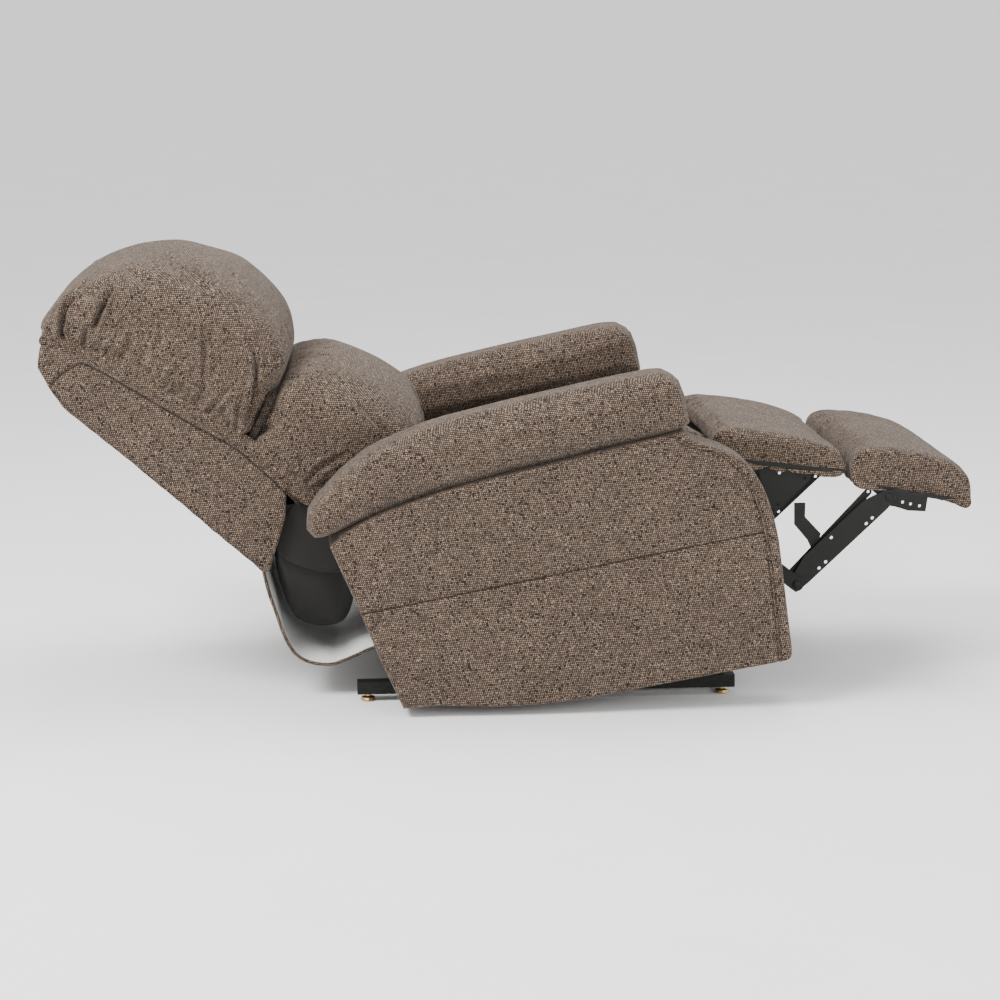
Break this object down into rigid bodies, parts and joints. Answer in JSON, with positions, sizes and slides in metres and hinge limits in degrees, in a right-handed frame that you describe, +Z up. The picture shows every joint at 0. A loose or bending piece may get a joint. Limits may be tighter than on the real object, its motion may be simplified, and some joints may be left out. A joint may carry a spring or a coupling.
{
  "type": "lift recliner chair",
  "caption": "Upholstered lift recliner shown reclined: seat with rolled arms, tall cushioned back, two-pad legrest on links, and a motor lift base on glides.",
  "frame": {"origin": "middle of the whole object's footprint, on the floor", "axes": "+X is the way the sitter faces, +Y is the sitter's left, +Z is up"},
  "size_m": [1.8068, 0.846, 0.8762],
  "materials": {
    "tweed": "taupe-brown tweed upholstery with fine light and dark flecks",
    "lining": "pale grey-white woven lining",
    "dark_cloth": "black non-woven cloth and webbing",
    "black_steel": "satin black paint",
    "zinc_steel": "zinc plated",
    "brass": "worn brass-coloured plating",
    "wood": "plain sawn hardwood",
    "black_plastic": "matt black moulding"
  },
  "bodies": {
    "base": {"base_rail_left": "black_steel", "base_rail_right": "black_steel", "base_bracket_left": "black_steel", "base_bracket_right": "black_steel", "foot_front_left": "brass", "foot_front_right": "brass", "foot_rear_left": "brass", "foot_rear_right": "brass", "base_cross_front": "black_steel", "base_cross_rear": "black_steel"},
    "lift_arms": {"lift_arm_left": "black_steel", "lift_arm_right": "black_steel", "lift_torque_tube": "black_steel"},
    "guide_links": {"lift_guide_link_left": "black_steel", "lift_guide_link_right": "black_steel"},
    "lift_frame": {"lift_frame_left": "black_steel", "lift_frame_right": "black_steel", "lift_frame_cross": "black_steel", "tilt_axle": "black_steel"},
    "lift_housing": {"lift_motor": "black_plastic", "lift_tube": "black_steel"},
    "lift_ram": {"lift_rod": "zinc_steel"},
    "seat": {"mechanism_plate_left": "black_steel", "mechanism_plate_right": "black_steel", "seat_rail_front": "wood", "seat_rail_rear": "wood", "seat_cross_tube": "black_steel", "seat_springs": "zinc_steel", "legrest_hinge_bar": "black_steel", "control_box": "black_plastic", "side_panel_left": "tweed", "side_panel_right": "tweed", "arm_roll_left": "tweed", "arm_roll_right": "tweed", "seat_cushion": "tweed"},
    "backrest": {"back_shell": "tweed", "head_pillow": "tweed", "lumbar_pillow": "tweed", "back_post_left": "wood", "back_post_right": "wood", "back_bracket_left": "black_steel", "back_bracket_right": "black_steel", "back_rail_bottom": "wood", "back_rail_top": "wood", "back_webbing": "dark_cloth", "back_lug": "black_steel", "back_flap": "lining"},
    "recline_housing": {"recline_motor": "black_plastic", "recline_tube": "black_steel"},
    "recline_ram": {"recline_rod": "zinc_steel"},
    "lower_links": {"lower_link_left": "black_steel", "lower_link_right": "black_steel"},
    "wide_links": {"wide_link_left": "black_steel", "wide_link_right": "black_steel", "thin_link_left": "black_steel", "thin_link_right": "black_steel"},
    "foot_section": {"foot_frame": "black_steel", "foot_pad": "tweed"},
    "mid_section": {"mid_frame": "black_steel", "mid_pad": "tweed"}
  },
  "joints": [
    {"name": "lift", "type": "hinge", "parent": "base", "child": "lift_arms", "pos_m": [0.33, 0, 0.05], "axis": [0, 1, 0], "range_deg": [0, 50]},
    {"name": "lift_frame_turn", "type": "hinge", "parent": "lift_arms", "child": "lift_frame", "pos_m": [-0.12, 0, 0.072], "axis": [0, 1, 0], "range_deg": [-25.2, 0.2]},
    {"name": "guide_turn", "type": "hinge", "parent": "base", "child": "guide_links", "pos_m": [0.396, 0, 0.074], "axis": [0, 1, 0], "range_deg": [-0.2, 59.2]},
    {"name": "lift_motor_turn", "type": "hinge", "parent": "base", "child": "lift_housing", "pos_m": [-0.07, 0, 0.068], "axis": [0, 1, 0], "range_deg": [-0.1, 4.8]},
    {"name": "lift_rod_slide", "type": "slide", "parent": "lift_housing", "child": "lift_ram", "axis": [0.9775, 0, 0.2109], "range_m": [-0.001, 0.08]},
    {"name": "tilt", "type": "hinge", "parent": "lift_frame", "child": "seat", "pos_m": [0.063, 0, 0.15], "axis": [0, 1, 0], "range_deg": [0, 10]},
    {"name": "recline", "type": "hinge", "parent": "seat", "child": "backrest", "pos_m": [-0.27, 0, 0.38], "axis": [0, 1, 0], "range_deg": [0, 28]},
    {"name": "recline_motor_turn", "type": "hinge", "parent": "seat", "child": "recline_housing", "pos_m": [0.15, 0, 0.23], "axis": [0, 1, 0], "range_deg": [-0.1, 4.2]},
    {"name": "recline_rod_slide", "type": "slide", "parent": "recline_housing", "child": "recline_ram", "axis": [-0.9978, 0, 0.0665], "range_m": [-0.001, 0.0545]},
    {"name": "footrest", "type": "hinge", "parent": "seat", "child": "lower_links", "pos_m": [0.398, 0, 0.337], "axis": [0, 1, 0], "range_deg": [0, 62]},
    {"name": "knee_turn", "type": "hinge", "parent": "lower_links", "child": "wide_links", "pos_m": [0.558, 0, 0.212], "axis": [0, 1, 0], "range_deg": [-82.3, 0.2]},
    {"name": "foot_turn", "type": "hinge", "parent": "wide_links", "child": "foot_section", "pos_m": [0.738, 0, 0.383], "axis": [0, 1, 0], "range_deg": [-0.2, 88.5]},
    {"name": "mid_turn", "type": "hinge", "parent": "seat", "child": "mid_section", "pos_m": [0.392, 0, 0.455], "axis": [0, 1, 0], "range_deg": [-0.2, 77.3]}
  ],
  "couplings": [
    {"joint": "lift_frame_turn", "follows": "lift", "ratio": -0.5},
    {"joint": "guide_turn", "follows": "lift", "ratio": 1.18},
    {"joint": "lift_motor_turn", "follows": "lift", "ratio": 0.0922},
    {"joint": "lift_rod_slide", "follows": "lift", "m_per_rad": 0.0906},
    {"joint": "recline_motor_turn", "follows": "recline", "ratio": 0.142},
    {"joint": "recline_rod_slide", "follows": "recline", "m_per_rad": 0.11},
    {"joint": "knee_turn", "follows": "footrest", "ratio": -1.32},
    {"joint": "foot_turn", "follows": "footrest", "ratio": 1.42},
    {"joint": "mid_turn", "follows": "footrest", "ratio": 1.24}
  ]
}
